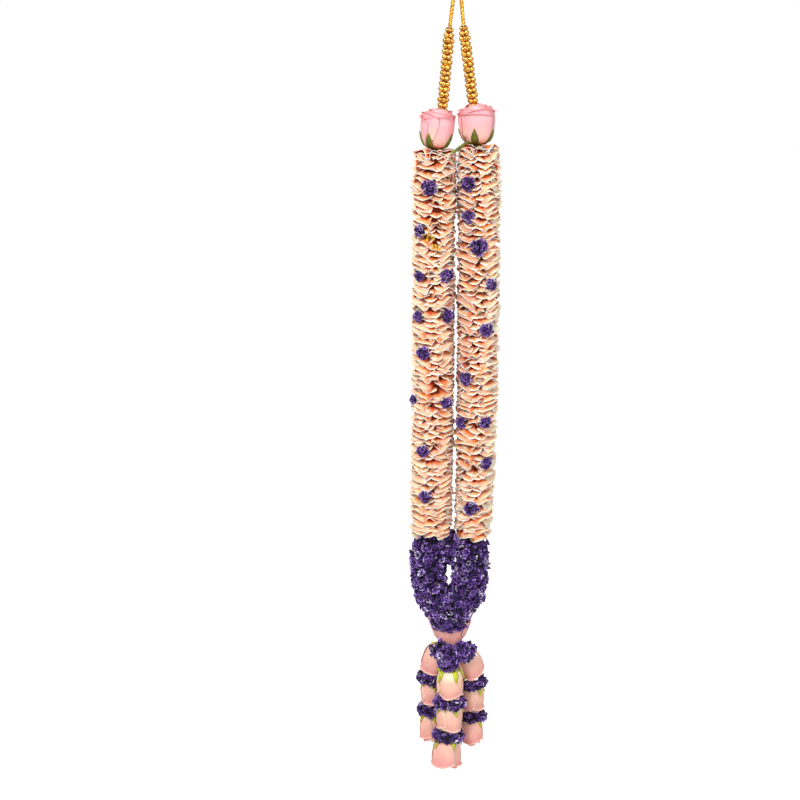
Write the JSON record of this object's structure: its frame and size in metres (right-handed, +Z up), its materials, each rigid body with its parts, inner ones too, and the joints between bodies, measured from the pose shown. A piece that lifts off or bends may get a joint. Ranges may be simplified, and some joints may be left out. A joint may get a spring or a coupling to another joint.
{
  "type": "garland",
  "caption": "Hanging flower garland: strands of folded rose petals with statice sprigs, joined by a purple statice loop over a rose tassel, on gold bead ropes and a gold neck cord.",
  "frame": {"origin": "underside of the neck cord at the top of its hanging eye, where it bears on the hook", "axes": "+Z up along the hanging garland, +X to its right and -Y to the front, as the picture shows it"},
  "size_m": [0.1089, 0.0817, 1.018],
  "materials": {
    "gold_cord": "twisted metallic gold cord, satin glints",
    "gold_bead": "bright metallised gold beads",
    "pink_petal": "soft matt fresh petal",
    "peach_petal": "soft matt petal with cream edges",
    "blush_petal": "soft matt petal, cream at the rims",
    "green_sepal": "matt leaf green",
    "statice": "papery dark violet florets with lilac glints",
    "thread": "plain cotton thread"
  },
  "bodies": {
    "root": {"neck_cord": "gold_cord", "neck_whipping": "gold_cord", "bead_rope_left": "gold_bead", "top_rose_left_petals": "pink_petal", "top_rose_left_calyx": "green_sepal", "petal_strand_left": "peach_petal", "sprig_string_left": "statice", "bead_rope_right": "gold_bead", "top_rose_right_petals": "pink_petal", "top_rose_right_calyx": "green_sepal", "petal_strand_right": "peach_petal", "sprig_string_right": "statice", "statice_loop": "statice", "tie_band": "blush_petal", "tassel_strings": "thread", "collar_tuft_front": "statice", "collar_tuft_right": "statice", "collar_tuft_left": "statice", "collar_tuft_back": "statice", "tassel_left_rose_1_petals": "blush_petal", "tassel_left_rose_1_calyx": "green_sepal", "tassel_left_ring_1": "statice", "tassel_left_rose_2_petals": "blush_petal", "tassel_left_rose_2_calyx": "green_sepal", "tassel_left_ring_2": "statice", "tassel_left_rose_3_petals": "blush_petal", "tassel_left_rose_3_calyx": "green_sepal", "tassel_middle_rose_1_petals": "blush_petal", "tassel_middle_rose_1_calyx": "green_sepal", "tassel_middle_ring_1": "statice", "tassel_middle_rose_2_petals": "blush_petal", "tassel_middle_rose_2_calyx": "green_sepal", "tassel_middle_ring_2": "statice", "tassel_middle_rose_3_petals": "blush_petal", "tassel_middle_rose_3_calyx": "green_sepal", "tassel_right_rose_1_petals": "blush_petal", "tassel_right_rose_1_calyx": "green_sepal", "tassel_right_ring_1": "statice", "tassel_right_rose_2_petals": "blush_petal", "tassel_right_rose_2_calyx": "green_sepal", "tassel_right_ring_2": "statice", "tassel_right_rose_3_petals": "blush_petal", "tassel_right_rose_3_calyx": "green_sepal"}
  },
  "joints": []
}
